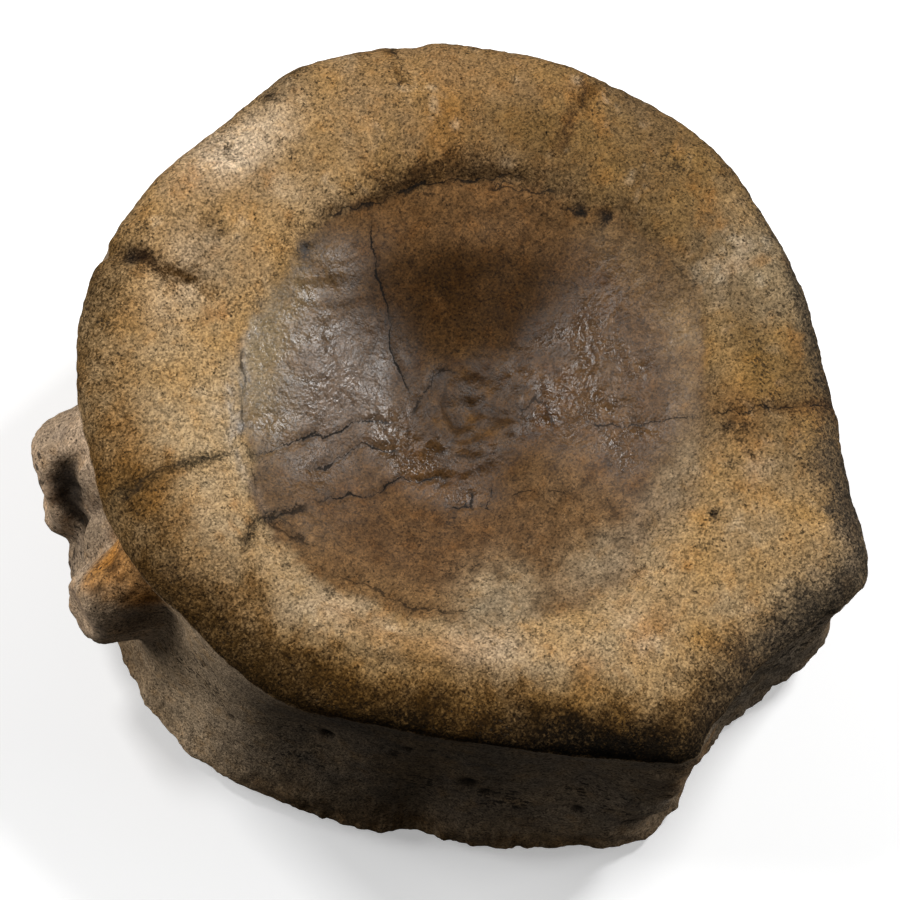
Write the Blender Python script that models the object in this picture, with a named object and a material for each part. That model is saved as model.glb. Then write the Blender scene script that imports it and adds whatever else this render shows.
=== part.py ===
"""Fossil neck vertebra of a pliosaur: the centrum, lying on its posterior face.

Row frame, metres: +Z runs along the body axis to the anterior face, +Y is dorsal, +X
is the animal's left. The origin is on the floor, under the middle of the bone.

The outside is one closed skin, made of rings round the body axis. Each ring's radius
and height come from the named sizes below. The four rib facets and the two facets of
the neural arch are blocks of that same skin, each parted from the centrum by a thin
gap.
"""

import bmesh
import bpy
import numpy as np

# ---------------------------------------------------------------- sizes, in millimetres and degrees
LENGTH = 70.0  # of the centrum, along the body axis
RIM_RADIUS = 75.5  # of the anterior rim, where no lobe changes it
BASE_RADIUS = 76.0  # of the posterior rim
TOP_ROLL = (11.5, 6.0)  # the anterior rim's rounding, across and down
BASE_ROLL = (5.0, 4.5)  # the posterior rim's
FOOT_WIDTH = 7.5  # of the flat that the bone rests on
BOWL_RADIUS, BOWL_OVAL, BOWL_OFF = 48.0, 2.3, 2.2  # of the sunk middle of the face
BOWL_DEPTH, BOWL_POWER = 8.8, 1.55  # below the bowl's own edge
CREST_AT, CREST_IN, CREST_OUT = 0.62, 2.4, 1.0  # where the rim is highest, and its falls
BASE_BOWL_DEPTH = 7.0
WAIST = 4.4  # how far the wall pulls in at mid length
MOUND_RADIUS, MOUND_HEIGHT = 9.5, 1.1  # the ring round the notochordal pit
PIT_RADIUS, PIT_DEPTH = 2.6, 1.6
MIDDLE = (0.9, 2.1)  # of the whole outline, from the axis; it becomes the origin
GAP = 0.3  # between neighbouring pieces

# Lobes of an outline: (where, middle, half width, height)
RIM_LOBES = (
    ("left flat", 33, 23, -6.3),
    ("left neural corner", 71, 11, 6.2),
    ("left corner's tip", 72.5, 4, 2.2),
    ("between the corners", 101, 14, 3.8),
    ("right neural corner", 109, 9, 5.4),
    ("right corner's tip", 107.5, 4.5, 1.2),
    ("right flat", 148, 26, -5.2),
    ("ventral right", 237, 21, 3.4),
    ("ventral left", 296, 25, 3.4),
    ("by the left facets", 322, 7.5, -1.1),
    ("over the left wall", 354, 11.5, -3.0),
)
BASE_LOBES = (
    ("left flat", 26, 17, -2.0),
    ("left chip", 37, 6, -2.2),
    ("left neural corner", 71, 10.5, 6.6),
    ("right neural corner", 112, 11, 7.4),
    ("right flat", 152, 24, -3.2),
    ("ventral right", 237, 22, 2.6),
    ("ventral left", 300, 22, 2.2),
    ("under the left facets", 353, 13, 2.0),
)
WAIST_LOBES = (
    ("left neural corner", 70, 11, -3.2),
    ("neural canal floor", 90, 9, 1.4),
    ("right neural corner", 110, 11, -3.0),
    ("ventral face", 270, 30, 1.4),
)
# A rib facet's swelling: where its foot is and how long its slope, in half widths, and how square it is
BOSS_FOOT, BOSS_SLOPE, BOSS_SQUARE = 1.18, 0.74, 2.1
# Rib facets: (middle, middle height, half width, half height, stands out, dish)
RIB_BOSSES = {
    "parapophysis_left": (317.8, 34.0, 16.0, 20.5, 14.0, 1.4),
    "diapophysis_left": (338.5, 37.0, 9.6, 17.0, 14.0, 0.9),
    "parapophysis_right": (221.5, 32.5, 13.6, 18.5, 12.0, 1.3),
    "diapophysis_right": (199.5, 34.0, 9.8, 16.5, 11.0, 0.9),
}
SADDLES = (
    ("between the left facets", 329.5, 31.0, 15.0, 17.0, 8.6, 0.0),
    ("between the right facets", 210.5, 30.0, 14.5, 15.5, 7.0, 0.0),
)
# Nicks in the lower edge, lifted off the floor: (where, middle, half width, lift)
BASE_NICKS = (
    ("left side", 24, 6.0, 3.0),
    ("right side", 150, 9.0, 2.6),
    ("ventral side", 262, 8.0, 2.8),
    ("under the left facets", 352, 5.0, 1.4),
)
# Slow swells over the skin: (waves per metre along x, y and z, phase, height)
SWELLS = (
    (19, 7, 4, 0.4, 0.34),
    (-6, 21, 9, 1.9, 0.32),
    (13, -15, 17, 3.1, 0.30),
    (31, 12, -14, 5.0, 0.22),
    (-11, 33, 21, 0.9, 0.20),
    (26, -29, 8, 2.4, 0.16),
)
# Blocks of skin: (from and to in degrees, inner radius, from and to height, squares)
BLOCKS = {
    "parapophysis_left": (302.0, 330.3, 64.0, 7.5, 59.0, 16, 18),
    "diapophysis_left": (330.6, 354.0, 64.0, 7.5, 59.0, 14, 18),
    "parapophysis_right": (209.2, 237.0, 64.0, 7.5, 57.0, 16, 17),
    "diapophysis_right": (186.0, 208.9, 64.0, 7.5, 57.0, 14, 17),
    "neural_facet_left": (56.0, 82.0, 70.0, 7.5, 60.0, 10, 10),
    "neural_facet_right": (99.0, 124.0, 70.0, 7.5, 60.0, 10, 10),
}
COLOURS = {  # (red, green, blue), roughness
    "centrum": ((0.44, 0.30, 0.155), 0.55),
    "parapophysis_left": ((0.33, 0.25, 0.185), 0.6),
    "diapophysis_left": ((0.27, 0.165, 0.08), 0.6),
    "parapophysis_right": ((0.31, 0.24, 0.18), 0.6),
    "diapophysis_right": ((0.29, 0.20, 0.12), 0.6),
    "neural_facet_left": ((0.16, 0.125, 0.09), 0.65),
    "neural_facet_right": ((0.15, 0.12, 0.09), 0.65),
}
ACROSS = 26  # squares across the anterior face; a ring has four times as many points
TOP_ROWS, WALL_ROWS, BASE_ROWS = 5, 12, 3


# ---------------------------------------------------------------- the skin's shape
def apart(a, b):
    """The angle from b to a in degrees, from -180 to 180."""
    return (a - b + 180.0) % 360.0 - 180.0


def bump(degrees, middle, half_width):
    return np.exp(-((apart(degrees, middle) / half_width) ** 2))


def lobes(degrees, table):
    return sum(height * bump(degrees, middle, width) for _, middle, width, height in table)


def ease(x):
    x = np.clip(x, 0.0, 1.0)
    return x * x * (3 - 2 * x)


def rim_radius(degrees):
    return RIM_RADIUS + lobes(degrees, RIM_LOBES)


def base_radius(degrees):
    return BASE_RADIUS + lobes(degrees, BASE_LOBES)


def bowl_radius(degrees):
    """The bowl's edge: an oval, wider than high, set off a little to the left and dorsally."""
    oval = BOWL_OVAL * np.cos(np.radians(2 * degrees - 20))
    return BOWL_RADIUS + oval + BOWL_OFF * np.cos(np.radians(degrees - 35))


def boss(degrees, z, middle, height, half_wide, half_high, out, dish):
    """How far a rib facet stands out of the wall: a flat-ended swelling, a little dished."""
    u = np.abs(apart(degrees, middle)) * np.pi / 180 * 78 / half_wide
    v = np.abs(z - height) / half_high
    rho = (u**BOSS_SQUARE + v**BOSS_SQUARE) ** (1 / BOSS_SQUARE)
    return out * ease((BOSS_FOOT - rho) / BOSS_SLOPE) - dish * np.exp(-((rho / 0.5) ** 2))


def wall_radius(degrees, z):
    """The wall between the two rims: waisted, with the rib facets and their saddles."""
    low, high = BASE_ROLL[1], LENGTH - CREST_OUT - TOP_ROLL[1]
    f = np.clip((z - low) / (high - low), 0, 1)
    r = base_radius(degrees) * (1 - ease(f)) + rim_radius(degrees) * ease(f)
    middle = np.sin(np.pi * f) ** 0.8
    r = r - (WAIST + lobes(degrees, WAIST_LOBES)) * middle
    grown = np.zeros_like(r)
    for size in [s[1:] for s in SADDLES] + list(RIB_BOSSES.values()):
        grown = np.maximum(grown, boss(degrees, z, *size))
    return r + grown


def anterior_height(degrees, r):
    """The anterior face: a low crest round a sunk bowl with a ringed pit in the middle."""
    edge, inner = bowl_radius(degrees), rim_radius(degrees) - TOP_ROLL[0]
    q = (r - edge) / (inner - edge) - CREST_AT
    fall = np.where(q < 0, CREST_IN * (q / CREST_AT) ** 2, CREST_OUT * (q / (1 - CREST_AT)) ** 2)
    sunk = CREST_IN + BOWL_DEPTH * (1 - np.clip(r / edge, 0, 1) ** BOWL_POWER)
    z = LENGTH - np.where(r >= edge, fall, sunk)
    z = z + MOUND_HEIGHT * np.exp(-(((r - MOUND_RADIUS) / 3.4) ** 2))
    return z - PIT_DEPTH * np.exp(-((r / PIT_RADIUS) ** 2))


def nick(degrees):
    """How far the lower edge is lifted: nothing but at the nicks."""
    return np.maximum(lobes(degrees, BASE_NICKS) - 0.1, 0.0)


def top_roll(degrees, turn):
    """The anterior rim's rounding, from the face (turn 0) to the wall (turn 1)."""
    a = turn * np.pi / 2
    low = LENGTH - CREST_OUT - TOP_ROLL[1]
    r = rim_radius(degrees) - TOP_ROLL[0] * (1 - np.sin(a))
    r = r + (wall_radius(degrees, low) - rim_radius(degrees)) * ease(turn)
    return r, low + TOP_ROLL[1] * np.cos(a)


def base_roll(degrees, turn):
    """The posterior rim's rounding, from the wall (turn 0) to the floor (turn 1)."""
    a = turn * np.pi / 2
    r = wall_radius(degrees, BASE_ROLL[1]) - BASE_ROLL[0] * (1 - np.cos(a))
    return r, BASE_ROLL[1] * (1 - np.sin(a)) + nick(degrees) * np.sin(a) ** 2


def foot(degrees):
    """The inner edge of the flat that the bone rests on."""
    return wall_radius(degrees, BASE_ROLL[1]) - BASE_ROLL[0] - FOOT_WIDTH, nick(degrees) * 0.6


def posterior_height(degrees, share):
    """The posterior face, by the share of the way out to the foot: a plainer bowl."""
    return nick(degrees) * 0.6 * share**6 + BASE_BOWL_DEPTH * (1 - share**2.2)


def on_skin(degrees, r, z):
    """The points in metres, with the slow swells, which fade out at the foot."""
    x, y = r * np.cos(np.radians(degrees)), r * np.sin(np.radians(degrees))
    s = sum(h * np.sin(0.002 * np.pi * (a * x + b * y + c * z) + p) for a, b, c, p, h in SWELLS)
    s = 1.6 * s * ease((z - 1.0) / 10.0)
    out = np.where(r > BOWL_RADIUS, ease((LENGTH - 4 - z) / 6), 0.0)  # the wall swells outwards, the face upwards
    grown = 1 + s * out / np.maximum(r, 1.0)
    return np.stack([x * grown, y * grown, z + s * (1 - out)], -1) * 0.001


# ---------------------------------------------------------------- the meshes
def add_points(bm, points):
    return [bm.verts.new(p) for p in points]


def ring_angles(count):
    return -45 + 360 * np.arange(count) / count


def disc(bm, across, place, flip):
    """A disc of squares. place(share, degrees) gives (radius, height). Returns its edge, anticlockwise from -45 degrees."""
    side = np.linspace(-1, 1, across + 1)
    a, b = np.meshgrid(side, side, indexing="ij")
    wide = np.abs(a) > np.abs(b)
    rho = np.where(wide, a, b)
    safe = np.where(rho == 0, 1, rho)
    phi = np.where(wide, 45 * b / safe, 90 - 45 * a / safe)
    degrees = (phi + np.where(rho < 0, 180, 0)) % 360
    points = on_skin(degrees, *place(np.abs(rho), degrees))
    grid = [add_points(bm, row) for row in points]
    n = across
    for i in range(n):
        for j in range(n):
            face = [grid[i][j], grid[i + 1][j], grid[i + 1][j + 1], grid[i][j + 1]]
            bm.faces.new(face[::-1] if flip else face)
    right = [grid[n][j] for j in range(n)]
    far = [grid[n - i][n] for i in range(n)]
    left = [grid[0][n - j] for j in range(n)]
    near = [grid[i][0] for i in range(n)]
    return right + far + left + near


def bridge(bm, upper, lower):
    """Faces between two rings. The lower one may have half as many points."""
    n, m = len(upper), len(lower)
    for k in range(m):
        a, b = lower[k], lower[(k + 1) % m]
        if n == m:
            bm.faces.new((upper[k], a, b, upper[(k + 1) % n]))
        else:
            u, v, w = upper[2 * k], upper[2 * k + 1], upper[(2 * k + 2) % n]
            bm.faces.new((u, a, v))
            bm.faces.new((v, a, b))
            bm.faces.new((v, b, w))


def to_mesh(bm, name):
    bmesh.ops.recalc_face_normals(bm, faces=bm.faces)
    mesh = bpy.data.meshes.new(name)
    bm.to_mesh(mesh)
    bm.free()
    mesh.shade_smooth()
    mesh.set_sharp_from_angle(angle=np.radians(50))
    return mesh


def skin():
    """The whole bone's outside as one closed mesh."""
    bm = bmesh.new()
    degrees = ring_angles(4 * ACROSS)

    def face(share, at):
        r = share * (rim_radius(at) - TOP_ROLL[0])
        return r, anterior_height(at, r)

    def back(share, at):
        return foot(at)[0] * share * 0.93, posterior_height(at, share * 0.93)

    high, low = LENGTH - CREST_OUT - TOP_ROLL[1], BASE_ROLL[1]
    rows = [top_roll(degrees, k / TOP_ROWS) for k in range(1, TOP_ROWS + 1)]
    for k in range(1, WALL_ROWS):
        z = np.full_like(degrees, high + (low - high) * k / WALL_ROWS)
        rows.append((wall_radius(degrees, z), z))
    rows += [base_roll(degrees, k / BASE_ROWS) for k in range(BASE_ROWS + 1)]
    rows.append(foot(degrees))
    last = disc(bm, ACROSS, face, False)
    for r, z in rows:
        new = add_points(bm, on_skin(degrees, r, z))
        bridge(bm, last, new)
        last = new
    bridge(bm, last, disc(bm, ACROSS // 2, back, True))
    return to_mesh(bm, "skin")


def block(start, end, inner, low, high, wide, tall):
    """A piece of the wall's skin between two angles and two heights, closed by flat sides and a flat back."""
    bm = bmesh.new()
    degrees, z = np.meshgrid(np.linspace(start, end, wide + 1), np.linspace(low, high, tall + 1), indexing="ij")
    front = [add_points(bm, row) for row in on_skin(degrees, wall_radius(degrees, z), z)]
    for i in range(wide):
        for j in range(tall):
            bm.faces.new((front[i][j], front[i + 1][j], front[i + 1][j + 1], front[i][j + 1]))
    edge = [front[i][0] for i in range(wide)] + [front[wide][j] for j in range(tall)]
    edge += [front[wide - i][tall] for i in range(wide)] + [front[0][tall - j] for j in range(tall)]
    ends = [inner * np.array([np.cos(a), np.sin(a)]) * 0.001 for a in np.radians((start, end))]
    back = []
    for i, j in (
        [(i, 0) for i in range(wide)]
        + [(wide, j) for j in range(tall)]
        + [(wide - i, tall) for i in range(wide)]
        + [(0, tall - j) for j in range(tall)]
    ):
        x, y = ends[0] + (ends[1] - ends[0]) * i / wide
        back.append(bm.verts.new((x, y, (low + (high - low) * j / tall) * 0.001)))
    n = len(edge)
    for k in range(n):
        bm.faces.new((edge[k], back[k], back[(k + 1) % n], edge[(k + 1) % n]))
    bm.faces.new(back)
    return to_mesh(bm, "block")


def wedge(name, parent, start, end, inner, low, high):
    """The cutter that makes room for a block, with the gap all round, reaching well outside the bone."""
    outer = 110.0
    bm = bmesh.new()
    corners = []
    for z in (low - GAP, high + GAP):
        for degrees, side in ((start, -1), (end, 1)):
            a = np.radians(degrees)
            along, across = np.array([np.cos(a), np.sin(a)]), side * GAP * np.array([-np.sin(a), np.cos(a)])
            for r in (inner - GAP, outer) if side < 0 else (outer, inner - GAP):
                corners.append(bm.verts.new((*((r * along + across) * 0.001), z * 0.001)))
    for face in ((3, 2, 1, 0), (4, 5, 6, 7), (0, 1, 5, 4), (1, 2, 6, 5), (2, 3, 7, 6), (3, 0, 4, 7)):
        bm.faces.new([corners[i] for i in face])
    cutter = bpy.data.objects.new(name, to_mesh(bm, name))
    cutter.parent = parent
    cutter.hide_render = True
    cutter.display_type = "WIRE"
    bpy.context.scene.collection.objects.link(cutter)
    return cutter


# ---------------------------------------------------------------- objects
def finish(name):
    """A material in the fossil's colour, for the piece of that name."""
    (red, green, blue), rough = COLOURS[name]
    material = bpy.data.materials.new(name)
    material.use_nodes = True
    shader = material.node_tree.nodes["Principled BSDF"]
    shader.inputs["Base Color"].default_value = (red, green, blue, 1)
    shader.inputs["Roughness"].default_value = rough
    shader.inputs["Metallic"].default_value = 0.0
    material.diffuse_color = (red, green, blue, 1)
    return material


def add_piece(name, mesh, parent):
    piece = bpy.data.objects.new(name, mesh)
    mesh.name = name
    mesh.materials.append(finish(name))
    piece.parent = parent
    bpy.context.scene.collection.objects.link(piece)
    return piece


def main():
    for old in list(bpy.data.objects):
        bpy.data.objects.remove(old)
    bone = bpy.data.objects.new("vertebra", None)
    bone.location = (-MIDDLE[0] * 0.001, -MIDDLE[1] * 0.001, 0)
    bpy.context.scene.collection.objects.link(bone)
    centrum = add_piece("centrum", skin(), bone)
    for name, size in BLOCKS.items():
        add_piece(name, block(*size), bone)
        cut = centrum.modifiers.new("room for " + name, "BOOLEAN")
        cut.operation = "DIFFERENCE"
        cut.solver = "EXACT"
        cut.object = wedge("room_" + name, bone, *size[:5])


main()
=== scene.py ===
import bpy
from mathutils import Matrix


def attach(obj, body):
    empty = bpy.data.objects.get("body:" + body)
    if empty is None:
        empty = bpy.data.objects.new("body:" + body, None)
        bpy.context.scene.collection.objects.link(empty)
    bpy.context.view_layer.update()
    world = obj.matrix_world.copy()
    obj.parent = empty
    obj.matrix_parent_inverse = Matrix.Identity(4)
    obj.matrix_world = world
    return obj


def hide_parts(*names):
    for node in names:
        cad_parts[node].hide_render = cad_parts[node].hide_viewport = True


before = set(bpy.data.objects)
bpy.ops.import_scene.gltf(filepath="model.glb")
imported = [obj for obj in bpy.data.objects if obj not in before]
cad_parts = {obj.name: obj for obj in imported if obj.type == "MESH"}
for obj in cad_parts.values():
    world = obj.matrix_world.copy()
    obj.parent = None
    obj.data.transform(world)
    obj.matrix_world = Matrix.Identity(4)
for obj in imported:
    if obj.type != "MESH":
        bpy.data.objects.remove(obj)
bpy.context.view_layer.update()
# A fossil neck vertebra of a pliosaur, lying on its posterior face. One skin of fine
# mesh stands for all the solids of the bone. Lengths below are millimetres and angles
# are degrees, measured round the body axis; +Y is dorsal and +X the animal's left.
import math

import bpy
import numpy as np
from mathutils import Matrix, Vector

# ================================================================ the bone's own sizes
LENGTH = 70.0
RIM_RADIUS = 75.5
BASE_RADIUS = 76.0
TOP_ROLL = (11.5, 6.0)
BASE_ROLL = (5.0, 4.5)
FOOT_WIDTH = 7.5
BOWL_RADIUS, BOWL_OVAL, BOWL_OFF = 48.0, 2.3, 2.2
BOWL_DEPTH, BOWL_POWER = 8.8, 1.55
CREST_AT, CREST_IN, CREST_OUT = 0.62, 2.4, 1.0
BASE_BOWL_DEPTH = 7.0
WAIST = 4.4
MOUND_RADIUS, MOUND_HEIGHT = 9.5, 1.1
PIT_RADIUS, PIT_DEPTH = 2.6, 1.6
MIDDLE = (0.9, 2.1)
RIM_LOBES = (
    ("left flat", 33, 23, -6.3),
    ("left neural corner", 71, 11, 6.2),
    ("left corner's tip", 72.5, 4, 2.2),
    ("between the corners", 101, 14, 3.8),
    ("right neural corner", 109, 9, 5.4),
    ("right corner's tip", 107.5, 4.5, 1.2),
    ("right flat", 148, 26, -5.2),
    ("ventral right", 237, 21, 3.4),
    ("ventral left", 296, 25, 3.4),
    ("by the left facets", 322, 7.5, -1.1),
    ("over the left wall", 354, 11.5, -3.0),
)
BASE_LOBES = (
    ("left flat", 26, 17, -2.0),
    ("left chip", 37, 6, -2.2),
    ("left neural corner", 71, 10.5, 6.6),
    ("right neural corner", 112, 11, 7.4),
    ("right flat", 152, 24, -3.2),
    ("ventral right", 237, 22, 2.6),
    ("ventral left", 300, 22, 2.2),
    ("under the left facets", 353, 13, 2.0),
)
WAIST_LOBES = (
    ("left neural corner", 70, 11, -3.2),
    ("neural canal floor", 90, 9, 1.4),
    ("right neural corner", 110, 11, -3.0),
    ("ventral face", 270, 30, 1.4),
)
# The bowl's colour does not end just where its hollow does
BOWL_MARK_LOBES = (
    ("lower left", 24, 23, -5.2),
    ("left", 331, 20, -2.4),
    ("far right", 198, 13, -2.4),
    ("far left", 262, 10, 1.6),
    ("right", 160, 12, 2.2),
)
BOSS_FOOT, BOSS_SLOPE, BOSS_SQUARE = 1.18, 0.74, 2.1
RIB_BOSSES = (
    ("parapophysis left", 317.8, 34.0, 16.0, 20.5, 14.0, 1.4),
    ("diapophysis left", 338.5, 37.0, 9.6, 17.0, 14.0, 0.9),
    ("parapophysis right", 221.5, 32.5, 13.6, 18.5, 12.0, 1.3),
    ("diapophysis right", 199.5, 34.0, 9.8, 16.5, 11.0, 0.9),
)
SADDLES = (
    ("between the left facets", 329.5, 31.0, 15.0, 17.0, 8.6, 0.0),
    ("between the right facets", 210.5, 30.0, 14.5, 15.5, 7.0, 0.0),
)
BASE_NICKS = (
    ("left side", 24, 6.0, 3.0),
    ("right side", 150, 9.0, 2.6),
    ("ventral side", 262, 8.0, 2.8),
    ("under the left facets", 352, 5.0, 1.4),
)
SWELLS = (
    (19, 7, 4, 0.4, 0.34),
    (-6, 21, 9, 1.9, 0.32),
    (13, -15, 17, 3.1, 0.30),
    (31, 12, -14, 5.0, 0.22),
    (-11, 33, 21, 0.9, 0.20),
    (26, -29, 8, 2.4, 0.16),
)
ACROSS = 160
TOP_ROWS, WALL_ROWS, BASE_ROWS, FOOT_ROWS = 14, 78, 8, 3


# ================================================================ the same shape as the solids
def apart(a, b):
    return (a - b + 180.0) % 360.0 - 180.0


def bump(degrees, middle, half_width):
    return np.exp(-((apart(degrees, middle) / half_width) ** 2))


def lobes(degrees, table):
    return sum(height * bump(degrees, middle, width) for _, middle, width, height in table)


def ease(x):
    x = np.clip(x, 0.0, 1.0)
    return x * x * (3 - 2 * x)


def rim_radius(degrees):
    return RIM_RADIUS + lobes(degrees, RIM_LOBES)


def base_radius(degrees):
    return BASE_RADIUS + lobes(degrees, BASE_LOBES)


def bowl_radius(degrees):
    oval = BOWL_OVAL * np.cos(np.radians(2 * degrees - 20))
    return BOWL_RADIUS + oval + BOWL_OFF * np.cos(np.radians(degrees - 35))


def bowl_mark(degrees):
    return bowl_radius(degrees) + lobes(degrees, BOWL_MARK_LOBES)


def boss_reach(degrees, z, middle, height, half_wide, half_high):
    """0 in the middle of a rib facet and 1 at its foot."""
    u = np.abs(apart(degrees, middle)) * np.pi / 180 * 78 / half_wide
    v = np.abs(z - height) / half_high
    return (u**BOSS_SQUARE + v**BOSS_SQUARE) ** (1 / BOSS_SQUARE)


def boss(degrees, z, middle, height, half_wide, half_high, out, dish):
    rho = boss_reach(degrees, z, middle, height, half_wide, half_high)
    return out * ease((BOSS_FOOT - rho) / BOSS_SLOPE) - dish * np.exp(-((rho / 0.5) ** 2))


def wall_radius(degrees, z):
    low, high = BASE_ROLL[1], LENGTH - CREST_OUT - TOP_ROLL[1]
    f = np.clip((z - low) / (high - low), 0, 1)
    r = base_radius(degrees) * (1 - ease(f)) + rim_radius(degrees) * ease(f)
    middle = np.sin(np.pi * f) ** 0.8
    r = r - (WAIST + lobes(degrees, WAIST_LOBES)) * middle
    grown = np.zeros_like(r)
    for _, *size in SADDLES + RIB_BOSSES:
        grown = np.maximum(grown, boss(degrees, z, *size))
    return r + grown


def anterior_height(degrees, r):
    edge, inner = bowl_radius(degrees), rim_radius(degrees) - TOP_ROLL[0]
    q = (r - edge) / (inner - edge) - CREST_AT
    fall = np.where(q < 0, CREST_IN * (q / CREST_AT) ** 2, CREST_OUT * (q / (1 - CREST_AT)) ** 2)
    sunk = CREST_IN + BOWL_DEPTH * (1 - np.clip(r / edge, 0, 1) ** BOWL_POWER)
    z = LENGTH - np.where(r >= edge, fall, sunk)
    z = z + MOUND_HEIGHT * np.exp(-(((r - MOUND_RADIUS) / 3.4) ** 2))
    return z - PIT_DEPTH * np.exp(-((r / PIT_RADIUS) ** 2))


def nick(degrees):
    return np.maximum(lobes(degrees, BASE_NICKS) - 0.1, 0.0)


def top_roll(degrees, turn):
    a = turn * np.pi / 2
    low = LENGTH - CREST_OUT - TOP_ROLL[1]
    r = rim_radius(degrees) - TOP_ROLL[0] * (1 - np.sin(a))
    r = r + (wall_radius(degrees, np.full_like(degrees, low)) - rim_radius(degrees)) * ease(turn)
    return r, np.full_like(degrees, low + TOP_ROLL[1] * np.cos(a))


def base_roll(degrees, turn):
    a = turn * np.pi / 2
    low = np.full_like(degrees, BASE_ROLL[1])
    r = wall_radius(degrees, low) - BASE_ROLL[0] * (1 - np.cos(a))
    return r, BASE_ROLL[1] * (1 - np.sin(a)) + nick(degrees) * np.sin(a) ** 2


def foot(degrees, share):
    """The flat that the bone rests on, from its outer edge (0) to its inner (1)."""
    low = np.full_like(degrees, BASE_ROLL[1])
    r = wall_radius(degrees, low) - BASE_ROLL[0] - FOOT_WIDTH * share
    return r, nick(degrees) * (1 - 0.4 * share)


def posterior_height(degrees, share):
    return nick(degrees) * 0.6 * share**6 + BASE_BOWL_DEPTH * (1 - share**2.2)


def on_skin(degrees, r, z):
    x, y = r * np.cos(np.radians(degrees)), r * np.sin(np.radians(degrees))
    s = sum(h * np.sin(0.002 * np.pi * (a * x + b * y + c * z) + p) for a, b, c, p, h in SWELLS)
    s = 1.6 * s * ease((z - 1.0) / 10.0)
    out = np.where(r > BOWL_RADIUS, ease((LENGTH - 4 - z) / 6), 0.0)
    grown = 1 + s * out / np.maximum(r, 1.0)
    return np.stack([x * grown, y * grown, z + s * (1 - out)], -1)


# ================================================================ fine meshes of it
def on_disc(across):
    side = np.linspace(-1, 1, across + 1)
    a, b = np.meshgrid(side, side, indexing="ij")
    wide = np.abs(a) > np.abs(b)
    rho = np.where(wide, a, b)
    safe = np.where(rho == 0, 1, rho)
    phi = np.where(wide, 45 * b / safe, 90 - 45 * a / safe)
    return np.abs(rho), (phi + np.where(rho < 0, 180, 0)) % 360


class Skin:
    """Points with their place on the bone, and faces with their place on the map."""

    def __init__(self):
        self.points, self.degrees, self.radius, self.height, self.zone = [], [], [], [], []
        self.faces, self.maps, self.count = [], [], 0

    def add(self, degrees, r, z, zone):
        degrees, r, z = (np.ravel(v).astype(float) for v in (degrees, r, z))
        self.points.append(on_skin(degrees, r, z))
        self.degrees.append(degrees % 360)
        self.radius.append(r)
        self.height.append(z)
        self.zone.append(np.full(len(degrees), zone))
        first = self.count
        self.count += len(degrees)
        return np.arange(first, self.count)

    def face(self, corners, uv):
        """corners (n, 3 or 4) and uv (n, 3 or 4, 2)."""
        self.faces += corners.tolist()
        self.maps.append(uv.reshape(-1, 2))

    def disc(self, across, place, zone, to_map, flip):
        share, degrees = on_disc(across)
        r, z = place(share, degrees)
        grid = self.add(degrees, r, z, zone).reshape(across + 1, across + 1)
        uv = to_map(share, degrees)
        order = ((0, 0), (1, 0), (1, 1), (0, 1))
        if flip:
            order = order[::-1]
        n = across
        corners = np.stack([grid[i : n + i, j : n + j] for i, j in order], -1).reshape(-1, 4)
        maps = np.stack([uv[i : n + i, j : n + j] for i, j in order], 2).reshape(-1, 4, 2)
        self.face(corners, maps)
        return np.concatenate([grid[n, :n], grid[:0:-1, n], grid[0, :0:-1], grid[:n, 0]])

    def bridge(self, upper, lower, map_upper, map_lower):
        """map_upper and map_lower give (u, v) at column numbers 0 to n, of n columns."""
        n, m = len(upper), len(lower)
        if n == m:
            k = np.arange(n)
            corners = np.stack([upper, lower, np.roll(lower, -1), np.roll(upper, -1)], -1)
            maps = np.stack([map_upper(k, n, k), map_lower(k, n, k), map_lower(k + 1, n, k), map_upper(k + 1, n, k)], 1)
            self.face(corners, maps)
            return
        k = np.arange(m)
        a, b = lower, np.roll(lower, -1)
        u, v, w = upper[0::2], upper[1::2], np.roll(upper, -2)[0::2]
        ua, ub = map_lower(2 * k, n, 2 * k), map_lower(2 * k + 2, n, 2 * k)
        uu, uv, uw = (map_upper(2 * k + i, n, 2 * k) for i in range(3))
        self.face(np.stack([u, a, v], -1), np.stack([uu, ua, uv], 1))
        self.face(np.stack([v, a, b], -1), np.stack([uv, ua, ub], 1))
        self.face(np.stack([v, b, w], -1), np.stack([uv, ub, uw], 1))


# The map: the anterior face and its rounding fill a big disc, the posterior face a
# smaller one, and the wall two long strips.
TOP_AT, TOP_SIZE = (0.315, 0.683), 0.308
UNDER_AT, UNDER_SIZE = (0.812, 0.806), 0.178
STRIPS = ((0.006, 0.192, 0.984, 0.165), (0.006, 0.014, 0.984, 0.165))


def round_map(at, size):
    def to_map(share, degrees):
        a = np.radians(degrees)
        return np.stack([at[0] + size * share * np.cos(a), at[1] + size * share * np.sin(a)], -1)

    return to_map


def ring_map(at, size, share):
    to_map = round_map(at, size)
    return lambda k, n, cell: to_map(share, -45 + 360 * k / n)


def strip_map(share):
    """The wall's height from its top (0) to its foot (1), in two strips of half a turn."""

    def to_map(k, n, cell):
        second = cell >= n // 2
        u = (k - np.where(second, n // 2, 0)) / (n / 2)
        left, low = (np.where(second, STRIPS[1][i], STRIPS[0][i]) for i in (0, 1))
        return np.stack([left + STRIPS[0][2] * u, low + STRIPS[0][3] * (1 - share)], -1)

    return to_map


TOP, ROLL, WALL, BASE, UNDER = range(5)


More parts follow.
